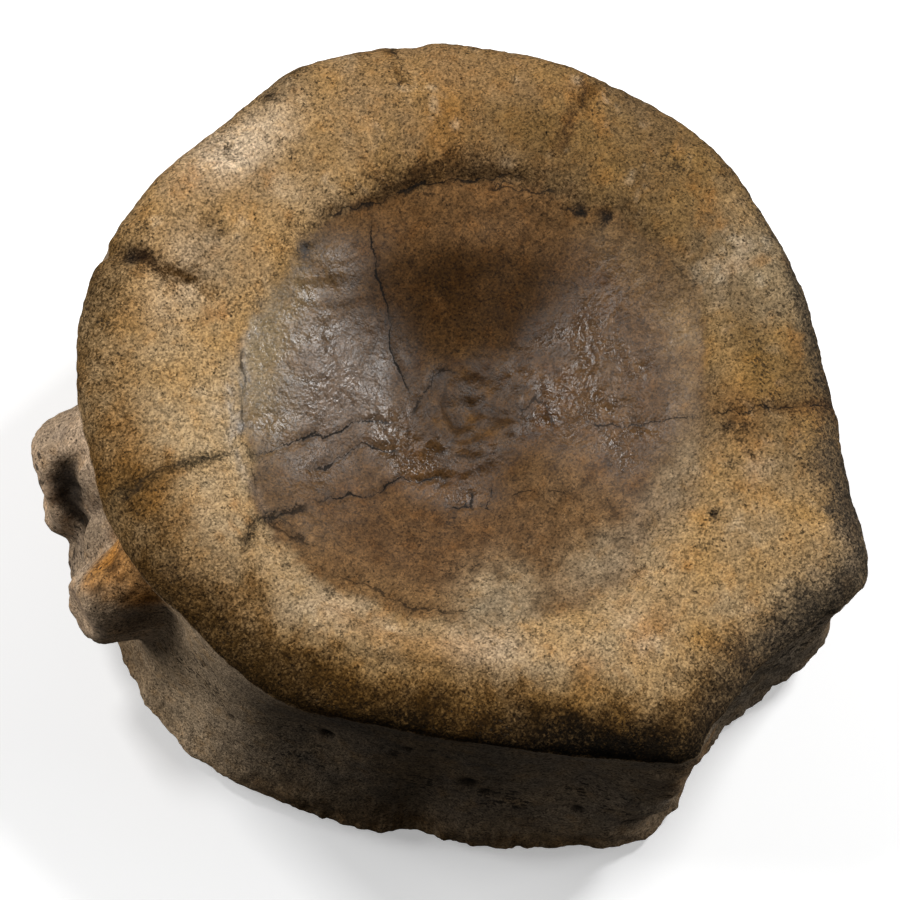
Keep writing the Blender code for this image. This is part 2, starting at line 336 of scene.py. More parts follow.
def build_skin():
    skin = Skin()
    count = 4 * ACROSS
    degrees = -45 + 360 * np.arange(count) / count
    inner = 0.80  # of the big disc's radius is the face, and the rest its rounding

    def face(share, at):
        r = share * (rim_radius(at) - TOP_ROLL[0])
        return r, anterior_height(at, r)

    def back(share, at):
        return foot(at, 1.0)[0] * share * 0.985, posterior_height(at, share * 0.985)

    to_top = round_map(TOP_AT, TOP_SIZE)
    to_under = round_map(UNDER_AT, UNDER_SIZE)
    last = skin.disc(ACROSS, face, TOP, lambda s, d: to_top(s * inner, d), False)
    share = inner
    for k in range(1, TOP_ROWS + 1):
        turn = (k / TOP_ROWS) ** 0.9
        new = skin.add(degrees, *top_roll(degrees, turn), ROLL)
        to = inner + (1 - inner) * turn
        skin.bridge(last, new, ring_map(TOP_AT, TOP_SIZE, share), ring_map(TOP_AT, TOP_SIZE, to))
        last, share = new, to
    high, low = LENGTH - CREST_OUT - TOP_ROLL[1], BASE_ROLL[1]
    rows = []
    for k in range(1, WALL_ROWS):
        z = np.full_like(degrees, high + (low - high) * k / WALL_ROWS)
        rows.append((wall_radius(degrees, z), z, WALL))
    rows += [(*base_roll(degrees, k / BASE_ROWS), BASE) for k in range(BASE_ROWS + 1)]
    before = 0.0
    for k, (r, z, zone) in enumerate(rows):
        new = skin.add(degrees, r, z, zone)
        after = (k + 1) / len(rows)
        skin.bridge(last, new, strip_map(before), strip_map(after))
        last, before = new, after
    share = 1.0
    for k in range(1, FOOT_ROWS + 1):
        new = skin.add(degrees, *foot(degrees, k / FOOT_ROWS), UNDER)
        to = 1.0 - 0.1 * k / FOOT_ROWS
        skin.bridge(last, new, ring_map(UNDER_AT, UNDER_SIZE, share), ring_map(UNDER_AT, UNDER_SIZE, to))
        last, share = new, to
    edge = skin.disc(ACROSS // 2, back, UNDER, lambda s, d: to_under(s * 0.885, d), True)
    skin.bridge(last, edge, ring_map(UNDER_AT, UNDER_SIZE, share), ring_map(UNDER_AT, UNDER_SIZE, 0.885))
    return skin


# ================================================================ noise
GRADIENTS = np.array(
    [(x, y, 0) for x in (1, -1) for y in (1, -1)]
    + [(x, 0, z) for x in (1, -1) for z in (1, -1)]
    + [(0, y, z) for y in (1, -1) for z in (1, -1)]
    + [(1, 1, 0), (0, -1, 1), (-1, 1, 0), (0, -1, -1)],
    float,
)


def scrambled(i, j, k, seed):
    h = (i * 374761393 + j * 668265263 + k * 1440670441 + seed * 362437) & 0xFFFFFFFF
    h = ((h ^ (h >> 13)) * 1274126177) & 0xFFFFFFFF
    h = ((h ^ (h >> 15)) * 2246822519) & 0xFFFFFFFF
    return h ^ (h >> 16)


def noise(p, seed=0):
    """Smooth noise of unit cells, from about -1 to 1."""
    cell = np.floor(p).astype(np.int64)
    f = p - cell
    u = f * f * f * (f * (f * 6 - 15) + 10)
    total = np.zeros(len(p))
    for dx in (0, 1):
        for dy in (0, 1):
            for dz in (0, 1):
                g = GRADIENTS[scrambled(cell[:, 0] + dx, cell[:, 1] + dy, cell[:, 2] + dz, seed) & 15]
                w = np.ones(len(p))
                for axis, d in enumerate((dx, dy, dz)):
                    w = w * (u[:, axis] if d else 1 - u[:, axis])
                total += w * (g * (f - (dx, dy, dz))).sum(1)
    return total * 1.5


def fbm(p, size, seed, octaves=3, keep=0.5):
    """Layers of noise. size is the widest layer's cell in millimetres."""
    total, gain = np.zeros(len(p)), 1.0
    for k in range(octaves):
        total += gain * noise(p / (size / 2**k), seed + 17 * k)
        gain *= keep
    return total / (sum(keep**k for k in range(octaves)) ** 0.5)


def ridged(p, size, seed, octaves=3):
    """Sharp creases where the noise crosses zero: 1 on a crease, near 0 between."""
    total, gain = np.zeros(len(p)), 1.0
    for k in range(octaves):
        total += gain * (1 - np.abs(noise(p / (size / 2**k), seed + 31 * k))) ** 3
        gain *= 0.5
    return total / 1.75


# ================================================================ cracks and marks
# (name, its points seen from the anterior face, half width, depth, how dark)
CRACKS = (
    ("long crack beside the middle", ((-14, -41), (-5, -28), (3, -18), (8, -9)), 0.24, 0.55, 1.0),
    ("upper wavy crack", ((42, -24), (30, -18), (23, -15), (19, -14), (12, -8)), 0.22, 0.5, 1.0),
    ("lower wavy crack", ((33, -13), (26, -11), (20, -9), (17, -2)), 0.20, 0.5, 0.95),
    ("foot of the cracked plate", ((38, -7), (32, -5), (26, -1), (21, 0), (18, 4), (13, 9)), 0.24, 0.6, 1.0),
    ("flaked edge on the left", ((56, -10), (49, -12), (44, -10), (39, -7)), 0.55, 0.5, 0.8),
    ("left edge of the bowl", ((24, -40), (33, -31), (39, -24), (44, -16)), 0.20, 0.35, 0.6),
    ("fork of the flaked edge", ((49, -12), (46, -5), (44, -1)), 0.40, 0.3, 0.6),
    ("near edge of the bowl", ((48, 3), (44, 11), (41, 20), (36, 28), (30, 33)), 0.26, 0.35, 0.7),
    ("right crack in the bowl", ((-12, 19), (-16, 25), (-22, 30), (-28, 36)), 0.18, 0.3, 0.8),
    ("right crack in the rim", ((-28, 36), (-33, 41), (-40, 47), (-49, 55)), 0.26, 0.45, 0.9),
    ("far edge of the bowl", ((-5, -46), (-16, -42), (-26, -37), (-35, -31), (-41, -24)), 0.34, 0.5, 0.9),
    ("far edge, inner line", ((-35, -28), (-39, -23), (-43, -16)), 0.22, 0.35, 0.8),
    ("far edge, last dash", ((-41, -14), (-44, -9)), 0.30, 0.3, 0.8),
    ("ventral crack", ((-46, -64), (-42, -59), (-37, -53)), 0.26, 0.3, 0.7),
    ("ventral right seam", ((-66, -28), (-58, -25), (-49, -21)), 0.35, 0.3, 0.35),
    ("smear on the left", ((64, -34), (56, -33), (50, -30), (42, -25)), 0.34, 0.2, 0.6),
    ("star, long arm", ((9, 14), (14, 17), (17, 13), (20, 10)), 0.20, 0.4, 0.95),
    ("star, short arm", ((16, 15), (13, 12)), 0.30, 0.4, 0.9),
    ("arc below the middle", ((9, 19), (5, 21)), 0.18, 0.3, 0.8),
    ("arc on the right", ((4, 23), (1, 27)), 0.17, 0.3, 0.7),
    ("swirl's far side", ((10, -7), (4, -9), (0, -9), (-4, -7)), 0.40, 0.6, 0.75),
    ("swirl's near side", ((12, 2), (9, 8), (3, 10)), 0.30, 0.4, 0.45),
    ("swirl's right side", ((-5, 9), (-10, 8), (-10, 12), (-7, 16)), 0.20, 0.3, 0.7),
    ("fold on the far left", ((9, -20), (2, -24), (-4, -31)), 0.30, 0.3, 0.4),
)
# Dark spots and pits: (x, y, radius, depth, how dark)
SPOTS = (
    (-29, 41, 1.5, 0.25, 0.9), (-31, 44, 1.1, 0.2, 0.8), (-28, 45, 1.2, 0.2, 0.8), (-27, 48, 1.0, 0.2, 0.7),
    (-23, 47, 1.0, 0.2, 0.7), (-13, 51, 1.3, 0.3, 0.9), (-4, -70, 2.6, 0.2, 0.45), (-19, -72, 1.6, 0.2, 0.7),
    (1, -44, 1.3, 0.4, 0.9), (-44, -11, 1.2, 0.3, 0.9), (-46, -6, 1.3, 0.3, 0.9), (26, -68, 1.5, 0.5, 0.9),
    (50, 8, 1.0, 0.2, 0.6), (52, -2, 0.9, 0.2, 0.6), (41, 40, 0.9, 0.2, 0.6), (33, 41, 1.0, 0.3, 0.8),
    (21, 14, 0.9, 0.3, 0.6), (-12, -60, 0.9, 0.2, 0.5), (10, -58, 0.9, 0.2, 0.6),
)
# Foramina and dark blots on the wall: (degrees, height, radius, depth, how dark)
FORAMINA = (
    (19, 36, 1.7, 1.6, 1.0), (44, 30, 2.2, 0.6, 0.9), (47, 27, 1.4, 0.4, 0.8), (61, 24, 1.3, 0.5, 0.9),
    (68, 18, 1.6, 0.5, 0.9), (356, 40, 1.2, 0.6, 0.8), (3, 26, 1.1, 0.6, 0.7), (33, 44, 1.0, 0.5, 0.8),
    (90, 34, 2.2, 1.6, 1.0), (96, 30, 1.5, 1.0, 0.9), (262, 34, 2.0, 1.7, 1.0), (281, 33, 2.1, 1.7, 1.0),
    (150, 38, 1.5, 1.0, 0.9), (170, 28, 1.2, 0.8, 0.8), (245, 22, 1.0, 0.6, 0.7), (130, 24, 1.2, 0.7, 0.8),
)
FAR = 3.5  # no crack is felt past this distance


def beside(xy, line):
    """How far each point is from a line of straight runs: (distance, signed distance, share of the way along)."""
    line = np.array(line, float)
    runs = np.diff(line, axis=0)
    lengths = np.linalg.norm(runs, axis=1)
    before = np.concatenate([[0], np.cumsum(lengths)])
    best = np.full(len(xy), 1e9)
    signed, along = np.zeros(len(xy)), np.zeros(len(xy))
    for a, run, length, start in zip(line, runs, lengths, before):
        t = np.clip(((xy - a) @ run) / length**2, 0, 1)
        off = xy - a - t[:, None] * run
        d = np.hypot(off[:, 0], off[:, 1])
        side = np.sign(run[0] * off[:, 1] - run[1] * off[:, 0])
        near = d < best
        best = np.where(near, d, best)
        signed = np.where(near, d * side, signed)
        along = np.where(near, (start + t * length) / before[-1], along)
    return best, signed, along


def crack_fields(points, on_face):
    """(groove depth, signed distance, strength) of the nearest crack at each point."""
    groove, signed = np.zeros(len(points)), np.full(len(points), FAR)
    strength, nearest = np.zeros(len(points)), np.full(len(points), 1e9)
    some = on_face & (np.hypot(points[:, 0], points[:, 1]) < 84)
    p = points[some]
    wander = np.stack([fbm(p, 7, 401, 3, 0.6), fbm(p, 7, 402, 3, 0.6)], -1) * 0.95
    wander = wander + np.stack([noise(p / 2.1, 403), noise(p / 2.1, 404)], -1) * 0.5
    xy = p[:, :2] + wander
    g, s, m, n = groove[some], signed[some], strength[some], nearest[some]
    for _, line, half, depth, dark in CRACKS:
        near = (np.abs(xy - np.mean(line, 0)) < np.ptp(line, 0) / 2 + 6).all(1)
        if not near.any():
            continue
        d, sd, along = beside(xy[near], line)
        taper = ease(along / 0.12) * ease((1 - along) / 0.12) * 0.75 + 0.25
        end = ease((FAR - d) / 2.0) * np.minimum(1, taper + 0.15)
        g[near] = np.maximum(g[near], depth * taper * np.exp(-((d / (half + 0.30)) ** 2)))
        half = half * (0.14 + 1.2 * ease((fbm(p[near], 3.4, 405, 2) + 0.42) / 0.84))
        closer = d / half < n[near]
        s[near] = np.where(closer, sd / half, s[near])
        m[near] = np.where(closer, end * dark * taper, m[near])
        n[near] = np.where(closer, d / half, n[near])
    groove[some], signed[some], strength[some] = g, s, m
    return groove, np.clip(signed, -9, 9), strength


def oval(x, y, at, wide, high, turn=0.0):
    """1 in the middle of an oval mark, falling smoothly to 0 at about its edge."""
    a = math.radians(turn)
    dx, dy = x - at[0], y - at[1]
    u, v = (dx * math.cos(a) + dy * math.sin(a)) / wide, (dy * math.cos(a) - dx * math.sin(a)) / high
    return np.exp(-((u * u + v * v) ** 1.3))


# ================================================================ relief
def relief(skin):
    """How far each point moves along its normal, in millimetres, and the crack fields."""
    p = np.concatenate(skin.points)
    deg, r, z = np.concatenate(skin.degrees), np.concatenate(skin.radius), np.concatenate(skin.height)
    zone = np.concatenate(skin.zone)
    x, y = p[:, 0], p[:, 1]
    edge, rim = bowl_radius(deg), rim_radius(deg)
    face = (zone == TOP) | (zone == ROLL)
    bowl = ease((bowl_mark(deg) + 1.0 - r) / 4.0) * (zone == TOP)
    band = ease((r - (rim - 15)) / 12.0) * face
    wall = ((zone == WALL) | (zone == BASE)).astype(float)
    wall = np.where(zone == ROLL, ease((LENGTH - 3 - z) / 5.0), wall)
    under = (zone == UNDER).astype(float)

    d = np.zeros(len(p))
    # the rim: low lumps, and a grain that coarsens towards the outer edge
    rim_part = (1 - bowl) * face
    d += rim_part * (0.32 * fbm(p, 13, 1) + 0.13 * fbm(p, 4.2, 2) + (0.06 + 0.10 * band) * fbm(p, 1.9, 3, 2))
    # the bowl: hammered, with folds that run down its sides
    a = np.radians(deg)
    spoke = np.stack([deg / 360 * 95, r / 13.0, np.zeros_like(r)], -1)
    smooth_part = bump(deg, 25, 42) * ease((r - 16) / 10)
    dark_part = bump(deg, 230, 34)
    d += bowl * (0.19 * fbm(p, 9, 4) + 0.14 * (1 - 0.5 * np.maximum(smooth_part, dark_part)) * fbm(p, 3.1, 5, 3, 0.6))
    d += bowl * ease((r - 14) / 10) * 0.06 * (1 - smooth_part) * noise(spoke, 6)
    # drawn-out folds on the far left of the bowl, and lumps on its right
    fold = np.stack([(x * 0.5 + y * 0.87) / 2.6, (x * 0.87 - y * 0.5) / 8.0, z / 8.0], -1)
    d += bowl * bump(deg, 272, 17) * ease((r - 20) / 8) * 0.30 * (noise(fold, 22) + 0.4 * noise(fold * 2, 23))
    d += bowl * (0.45 + 0.55 * bump(deg, 150, 40)) * ease((r - 5) / 8) * 0.10 * fbm(p, 1.9, 24, 2, 0.7)
    # creased plates on the left side of the bowl
    plates = bump(deg, 330, 32) * ease((r - 12) / 8) * bowl
    d -= plates * 0.24 * ridged(p * (1, 1, 0.2), 6.5, 7, 3) ** 2
    d += bump(deg, 344, 14) * ease((r - 16) / 5) * ease((46 - r) / 5) * 0.30 * fbm(p, 4.6, 25, 3, 0.6)
    # a swirl of rings round the pit
    turn = r + 2.4 * fbm(p, 9, 8) + 0.8 * fbm(p, 3.0, 81) + deg / 360 * 4.4
    ringed = np.exp(-((r / 16.0) ** 4)) * (zone == TOP)
    d += 0.30 * np.sin(2 * np.pi * turn / 4.4) * ringed * (0.5 + 0.9 * ease(fbm(p, 8, 82) + 0.3))
    d += (0.32 * fbm(p, 3.6, 9, 3, 0.6) + 0.46 * ridged(p, 4.2, 83, 3)) * ringed
    d -= 1.2 * oval(x, y, (4.2, -0.6), 3.4, 1.6, 60) * (zone == TOP)
    d -= 0.9 * oval(x, y, (9.0, 3.0), 2.2, 1.2, 70) * (zone == TOP)
    d -= 0.7 * oval(x, y, (-2.5, 5.5), 2.6, 1.1, 120) * (zone == TOP)
    # the far side of the bowl is undercut a little below the rim
    d -= 0.9 * bump(deg, 232, 34) * np.exp(-(((r - edge + 1.6) / 1.7) ** 2)) * face
    # the near edge has a low step
    d += 0.35 * bump(deg, 22, 30) * np.exp(-(((r - edge - 1.2) / 1.6) ** 2)) * face
    # the notch across the rim
    notch_d, _, along = beside(np.stack([x, y], -1), ((28, -73), (24, -62), (20, -50)))
    d -= face * (1.5 - 0.8 * along) * np.exp(-((notch_d / (2.0 + 1.2 * along)) ** 2))
    # a trough and a swelling on the ventral side of the rim
    d -= 0.8 * oval(x, y, (-46, -57), 3.0, 9.0, -38) * face
    d += 0.8 * oval(x, y, (-12, -64), 14.0, 5.0, -14) * face
    # cracks and spots
    groove, signed, strength = crack_fields(p, zone == TOP)
    g2, s2, m2 = crack_fields(p, zone == ROLL)
    roll = zone == ROLL
    groove, signed, strength = (np.where(roll, b, a) for a, b in ((groove, g2), (signed, s2), (strength, m2)))
    d -= groove
    for sx, sy, size, depth, _ in SPOTS:
        d -= depth * face * np.exp(-(((x - sx) ** 2 + (y - sy) ** 2) / size**2))
    # one side of the plate's cracks stands higher
    _, step, _ = beside(np.stack([x, y], -1), CRACKS[3][1])
    d += 0.45 * bowl * np.where(step > 0, np.exp(-np.abs(step) / 5.0), 0) * bump(deg, 345, 22)

    # the wall: fibres down it, coarser on the lower lip
    arc = deg / 360 * 480
    fibre = np.stack([arc / 1.5, z / 9.0, np.zeros_like(z)], -1)
    fine = np.stack([arc / 0.9, z / 4.0, np.zeros_like(z)], -1)
    lip = ease((19 - z) / 13) * wall
    d += wall * (0.34 * fbm(p, 15, 11) + 0.14 * fbm(p, 4.5, 12))
    strands = 0.4 + 0.6 * ease(fbm(p, 22, 141) + 0.5)
    d += wall * strands * ((0.06 + 0.17 * lip) * noise(fibre, 13) + (0.05 + 0.19 * lip) * noise(fine, 14))
    d += lip * (0.75 * fbm(p, 9.0, 15) + 0.26 * fbm(p, 2.4, 151))
    # the broken side between the neural corners, and the corners' own broken edges
    broken = wall * np.maximum(bump(deg, 93, 25), 0.9 * bump(deg, 74, 9))
    broken = broken * ease((z - 0.5) / 3)
    d += broken * (1.3 * fbm(p, 10, 16) + 0.62 * ridged(p, 8, 17, 3) - 0.3 + 0.25 * fbm(p, 2.6, 18))
    for sd, sz, size, depth, _ in FORAMINA:
        off = (apart(deg, sd) * np.pi / 180 * 76) ** 2 + (z - sz) ** 2
        d -= depth * wall * np.exp(-((off / size**2) ** 1.6))
    # rib facets: a raised rim round each dished end, and a hollow above
    for _, middle, height, wide, high, out, _ in RIB_BOSSES:
        rho = boss_reach(deg, z, middle, height, wide, high)
        near = np.exp(-((rho / 1.25) ** 6)) * wall
        d += near * (0.55 * np.exp(-(((rho - 0.66) / 0.14) ** 2)) - 0.5 * np.exp(-((rho / 0.42) ** 2)))
        d += near * (0.60 * fbm(p, 9.0, 19, 3, 0.55) + 0.25 * fbm(p, 2.4, 20) - 0.3)
    # a deep hollow on top of the left parapophysis, behind its end
    d -= 3.2 * hollow_of(p, deg, z) * wall
    # bosses give way to the wall without an edge
    d -= 1.2 * np.exp(-((apart(deg, 348.5) / 3.0) ** 2 + ((z - 45) / 6.0) ** 2)) * wall
    # underneath
    d += under * 0.25 * fbm(p, 9, 21) * ease((z - 0.3) / 2.0)
    # the foot stays on the floor
    return d * ease((z + 0.05) / 2.2), p, deg, r, z, zone, signed, strength, groove


def hollow_of(p, deg, z):
    wander = apart(deg, 324.0) + 1.2 * fbm(p, 8, 26)
    return np.exp(-(np.abs(wander / 3.8) ** 2.4 + np.abs((z - 43.9 + 8.0 * wander / 5.0) / 2.9) ** 2.4))


def vertex_normals(p, faces):
    """Unit normals at the points, weighed by the area of the faces round them."""
    normal = np.zeros_like(p)
    for size in (3, 4):
        f = np.array([c for c in faces if len(c) == size])
        if not len(f):
            continue
        n = np.cross(p[f[:, 1]] - p[f[:, 0]], p[f[:, 2]] - p[f[:, 0]])
        if size == 4:
            n = np.cross(p[f[:, 2]] - p[f[:, 0]], p[f[:, 3]] - p[f[:, 1]])
        for i in range(size):
            for axis in range(3):
                normal[:, axis] += np.bincount(f[:, i], n[:, axis], len(p))
    return normal / np.maximum(np.linalg.norm(normal, axis=1, keepdims=True), 1e-12)


# ================================================================ colour
def tone(red, green, blue):
    c = np.array([red, green, blue]) / 255.0
    return np.where(c <= 0.04045, c / 12.92, ((c + 0.055) / 1.055) ** 2.4)


BUFF = tone(174, 146, 108)
OCHRE = tone(146, 110, 68)
BROWN = tone(116, 87, 52)
PALE = tone(206, 180, 148)
YELLOW = tone(176, 130, 66)
ORANGE = tone(148, 98, 42)
UMBER = tone(82, 57, 24)
BLACKISH = tone(13, 8, 2)
OLIVE = tone(84, 76, 62)
BOWL_BROWN = tone(92, 66, 40)
BOWL_DARK = tone(38, 25, 12)
BOWL_GREY = tone(98, 82, 68)
BOWL_RED = tone(68, 48, 27)
BOWL_PATCH = tone(140, 122, 96)
WALL_TONE = tone(136, 117, 94)
WALL_GREY = tone(118, 105, 90)
LIP_TONE = tone(128, 101, 68)
BOSS_TONE = tone(212, 182, 150)
BROKEN_TONE = tone(118, 106, 90)


def mixed(base, colour, amount):
    return base + (colour - base) * np.clip(amount, 0, 1)[:, None]


class StainAndShade:
    """A dark colour over the bone, for stains and for painted shade, and how strong it is; the material breaks it into
    grains.
    """

    def __init__(self, count):
        self.colour, self.strength = np.tile(UMBER, (count, 1)), np.zeros(count)

    def add(self, colour, amount):
        amount = np.clip(amount, 0, 1)
        share = amount / np.maximum(1 - (1 - self.strength) * (1 - amount), 1e-6)
        self.colour = self.colour + (colour - self.colour) * share[:, None]
        self.strength = 1 - (1 - self.strength) * (1 - amount)


def paint(p, deg, r, z, zone, groove):
    """(base colour, stain and painted shade, gloss, pores, flecks) at each point."""
    x, y = p[:, 0], p[:, 1]
    n_big, n_mid, n_small = fbm(p, 24, 51), fbm(p, 9, 52), fbm(p, 3.2, 53)
    n_fine = fbm(p, 1.9, 54, 2)
    edge, rim = bowl_mark(deg), rim_radius(deg)
    wobble = 1.5 * fbm(p, 10, 55) + 0.7 * n_small
    face = ((zone == TOP) | (zone == ROLL)).astype(float)
    ragged = 2.4 * fbm(p, 12, 56) + 1.1 * n_small + 0.8 * n_fine
    blur = 2.6 + 6.0 * bump(deg, 104, 30) + 2.5 * bump(deg, 285, 25)
    bowl = ease((edge - r + ragged * (0.35 + 0.14 * blur)) / blur + 0.5) * (zone == TOP)
    stain_and_shade = StainAndShade(len(p))

    # ---- the rim
    c = np.tile(BUFF, (len(p), 1))
    c = mixed(c, OCHRE, bump(deg, 222, 36) * 0.9)
    c = mixed(c, BROWN, bump(deg, 182, 28) * 0.95)
    c = mixed(c, tone(126, 98, 63), bump(deg, 132, 30) * 0.9)
    c = mixed(c, tone(84, 64, 38), bump(deg, 139, 13) * ease((r - 50) / 6) * ease((71 - r) / 6) * 0.95)
    c = mixed(c, tone(156, 130, 94), bump(deg, 156, 12) * ease((r - 56) / 6) * 0.8)
    c = mixed(c, OCHRE, bump(deg, 280, 17) * 0.45)
    c = mixed(c, YELLOW, 0.16 + 0.42 * n_big + 0.32 * n_mid)
    c = mixed(c, BROWN, 0.7 * ease(0.1 + 0.8 * fbm(p, 15, 57)) * (0.35 + 0.65 * bump(deg, 200, 75)))
    c = mixed(c, PALE, 0.5 * ease(0.5 * n_mid - 0.6 * n_big + 0.2 * n_small) * (1 - 0.6 * bump(deg, 200, 50)))
    c = c * (1 - 0.14 * bump(deg, 196, 38) - 0.21 * bump(deg, 24, 44) - 0.14 * bump(deg, 250, 16))[:, None]
    c = mixed(c, tone(112, 82, 42), bump(deg, 212, 17) * ease((r - 50) / 5) * ease((67 - r) / 8) * (0.75 + 0.3 * n_mid))
    streak = oval(x, y, (-5, -69.0), 13, 6.0, -11)
    c = mixed(c, PALE, streak * (0.85 + 0.3 * n_small))
    c = mixed(c, PALE, oval(x, y, (40, 38), 12, 7, -40) * 0.42 + oval(x, y, (57, -18), 7, 11, 10) * 0.12)
    c = mixed(c, PALE, oval(x, y, (24, -57), 11, 6, 20) * 0.35)
    c = mixed(c, ORANGE, oval(x, y, (30, 55), 6, 3, 30) * 0.5 + oval(x, y, (14, 58), 7, 3, 10) * 0.5)
    c = mixed(c, ORANGE, oval(x, y, (44, 32), 4, 9, 40) * 0.35 + oval(x, y, (-38, -42), 10, 4, 40) * 0.4)
    c = mixed(c, ORANGE, oval(x, y, (-32, 42), 8, 4, 50) * 0.4 + oval(x, y, (50, 20), 3, 10, 15) * 0.35)

    c = mixed(c, tone(140, 94, 42), ease(1.3 * fbm(p, 11, 62) + 0.9 * n_small - 0.35) * 0.55)
    c = mixed(c, tone(188, 166, 134), ease(1.2 * fbm(p, 9, 63) + 0.8 * n_small - 0.45) * 0.40)

    def outer(width, blur, wave=1.6):
        """From 0 to 1 across the last millimetres before the rim's edge."""
        return ease((r - rim + width + wobble * wave) / blur) * face

    # partly painted shade: the dark bands over the rim's outer edge on the near side (round 30° and 62°, and the last
    # few millimetres round 45°) are partly the bone's stain and partly painted shade where the rim rolls down away from
    # the lamps
    near, near_black = bump(deg, 30, 36), bump(deg, 62, 23)
    c = mixed(c, tone(146, 106, 50), outer(19, 11) * np.maximum(near, near_black) * (0.8 + 0.3 * n_mid))
    stain_and_shade.add(tone(84, 55, 16), outer(15, 12) * near * 0.74)
    stain_and_shade.add(tone(42, 27, 6), outer(10, 9) * near * 0.72)
    stain_and_shade.add(UMBER, outer(16, 9) * near_black * 0.6)
    stain_and_shade.add(BLACKISH, outer(12.0, 8) * near_black)
    stain_and_shade.add(BLACKISH, outer(3.5, 4) * bump(deg, 45, 34) * 0.9)
    left = bump(deg, 330, 30)
    c = mixed(c, tone(134, 98, 52), outer(18, 9) * left * (0.75 + 0.3 * n_mid))
    c = mixed(c, ORANGE, outer(16, 8) * left * ease(0.25 + 0.8 * n_mid) * 0.45)
    stain_and_shade.add(tone(70, 48, 18), outer(15, 12) * left * (0.48 + 0.3 * n_mid))
    stain_and_shade.add(tone(50, 34, 10), outer(14, 9) * bump(deg, 6, 24) * 0.74)
    stain_and_shade.add(tone(64, 45, 17), outer(12, 9) * bump(deg, 297, 14) * 0.6)
    stain_and_shade.add(tone(58, 51, 42), outer(12, 10) * bump(deg, 97, 19) * 0.78)
    side = bump(deg, 148, 38)
    stain_and_shade.add(tone(70, 63, 52), outer(8, 9) * side * 0.38)
    stain_and_shade.add(tone(60, 54, 46), outer(13, 9) * bump(deg, 117, 14) * 0.7)
    stain_and_shade.add(tone(44, 40, 34), outer(3.8, 3.4) * side * 0.60)
    stain_and_shade.add(tone(70, 54, 34), outer(5, 5) * bump(deg, 235, 50) * 0.55)

    def smear(line, width):
        d, _, along = beside(np.stack([x + 0.9 * wobble, y + 0.6 * n_small], -1), line)
        return np.exp(-((d / width) ** 2)) * ease(along / 0.2 + 0.3) * ease((1 - along) / 0.2 + 0.3) * face

    stain_and_shade.add(tone(48, 32, 16), smear(((27, -70), (24, -62), (21, -54)), 1.7) * 0.95)
    stain_and_shade.add(UMBER, smear(((25, -62), (19, -50)), 3.4) * 0.5)
    stain_and_shade.add(tone(56, 48, 34), smear(((66, -36), (57, -33), (50, -29), (41, -25)), 1.3) * 0.75)
    stain_and_shade.add(UMBER, smear(((62, -35), (52, -31)), 4.2) * 0.55)
    stain_and_shade.add(tone(60, 50, 36), smear(((56, -10), (49, -12), (43, -9)), 1.3) * 0.6)
    stain_and_shade.add(UMBER, smear(((56, -8), (62, 2), (66, 6)), 2.2) * 0.35)
    stain_and_shade.add(tone(78, 52, 28), smear(((-66, -28), (-57, -25), (-48, -21)), 1.7) * 0.5)
    stain_and_shade.add(UMBER, smear(((-68, -27), (-60, -26)), 1.2) * 0.5)
    stain_and_shade.add(UMBER, smear(((-46, -65), (-37, -52)), 1.5) * 0.5)
    stain_and_shade.add(tone(78, 54, 30), smear(((-30, 37), (-38, 45), (-50, 57)), 2.2) * 0.5)
    stain_and_shade.add(tone(86, 66, 40), oval(x, y, (11, -61), 6, 3, 30) * 0.45)
    # brown shade spilling out of the far side of the bowl
    spill = bump(deg, 238, 36) * ease((edge + 9.0 - r + 1.8 * wobble) / 10.0) * face * (1 - bowl)
    stain_and_shade.add(tone(60, 41, 20), spill * 0.9)
    stain_and_shade.add(tone(76, 54, 28), bump(deg, 200, 16) * ease((edge + 6 - r + 1.8 * wobble) / 7.0) * face * (1 - bowl) * 0.5)
    stain_and_shade.add(tone(70, 52, 32), ease(0.9 * fbm(p, 8, 58) - 0.25) * face * (1 - bowl) * 0.4)

    c = c * np.array([0.885, 0.91, 0.94]) * (1 + bump(deg, 172, 42)[:, None] * np.array([-0.11, -0.06, 0.03]))
    # ---- the bowl
    b = np.tile(tone(88, 62, 36), (len(p), 1))
    b = mixed(b, tone(74, 50, 26), 0.4 + 0.8 * n_mid)
    # painted sheen, partly: round 306° the left wall of the bowl is painted paler and greyer, for the reflection of the
    # lamps in its lacquer; some of the grey tint is the bone's own
    painted_sheen = bump(deg, 308, 36) * ease((r - 9) / 9)
    b = mixed(b, tone(142, 124, 94), bump(deg, 306, 30) * ease((r - 28 + 2 * n_mid) / 14) * 0.9)
    b = mixed(b, tone(104, 88, 74), painted_sheen * (0.8 + 0.4 * n_small) * ease((44 - r) / 14))
    b = mixed(b, tone(70, 58, 49), painted_sheen * ease(0.1 + n_small) * 0.40)
    plates = bump(deg, 342, 15) * ease((r - 14) / 8)
    b = mixed(b, tone(82, 62, 42), plates * 0.8)
    b = mixed(b, tone(62, 50, 40), plates * ease(0.1 + n_small + 0.5 * n_fine) * 0.6)
    right_side = bump(deg, 150, 42) * ease((r - 14) / 10)
    b = mixed(b, tone(86, 64, 42), right_side * (0.8 + 0.4 * n_small))
    b = mixed(b, tone(120, 96, 66), bump(deg, 160, 40) * ease((r - 36) / 9) * (0.7 + 0.5 * n_mid))
    lower = bump(deg, 24, 46) * ease((r - 16) / 10)
    b = mixed(b, tone(92, 66, 40), lower * (0.85 + 0.4 * n_small))
    b = mixed(b, tone(118, 90, 58), lower * ease((r - 36) / 9) * (0.6 + 0.5 * n_mid))
    b = mixed(b, tone(106, 82, 58), bump(deg, 84, 26) * ease((r - 13) / 8) * (0.7 + 0.3 * n_small))
